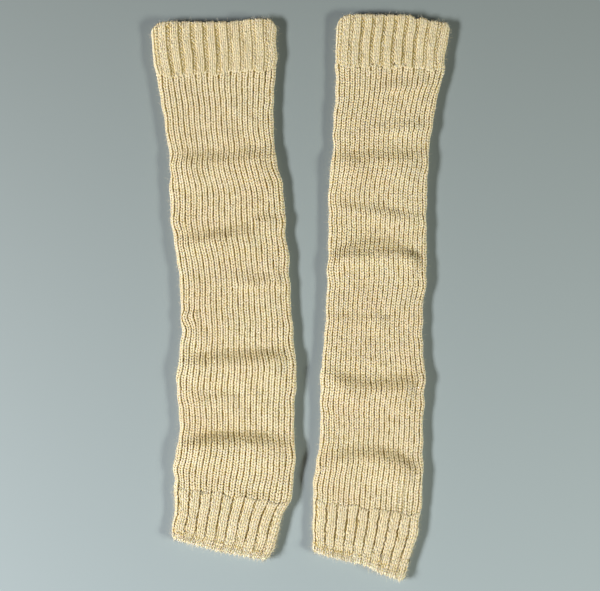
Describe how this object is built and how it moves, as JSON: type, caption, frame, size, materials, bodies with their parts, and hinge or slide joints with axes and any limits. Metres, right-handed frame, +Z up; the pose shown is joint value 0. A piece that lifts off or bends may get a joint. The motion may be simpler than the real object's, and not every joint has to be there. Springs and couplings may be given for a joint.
{
  "type": "pair of leg warmers",
  "caption": "Ribbed knit leg warmers laid flat side by side, each a long tube with a wide rib cuff at both ends.",
  "frame": {"origin": "the middle of the pair on the surface that it lies on, under the gap between the two leg warmers", "axes": "+Y runs along the leg warmers towards their wide top cuffs, +X across the pair to the right one, +Z up from the surface"},
  "size_m": [0.2537, 0.4803, 0.0115],
  "materials": {
    "fine_rib_knit": "soft matte cream wool knit in fine one by one rib",
    "wide_rib_knit": "soft matte cream wool knit in wide two by two rib"
  },
  "bodies": {
    "root": {"left_bottom_cuff": "wide_rib_knit", "left_leg": "fine_rib_knit", "left_top_cuff": "wide_rib_knit", "right_bottom_cuff": "wide_rib_knit", "right_leg": "fine_rib_knit", "right_top_cuff": "wide_rib_knit"}
  },
  "joints": []
}
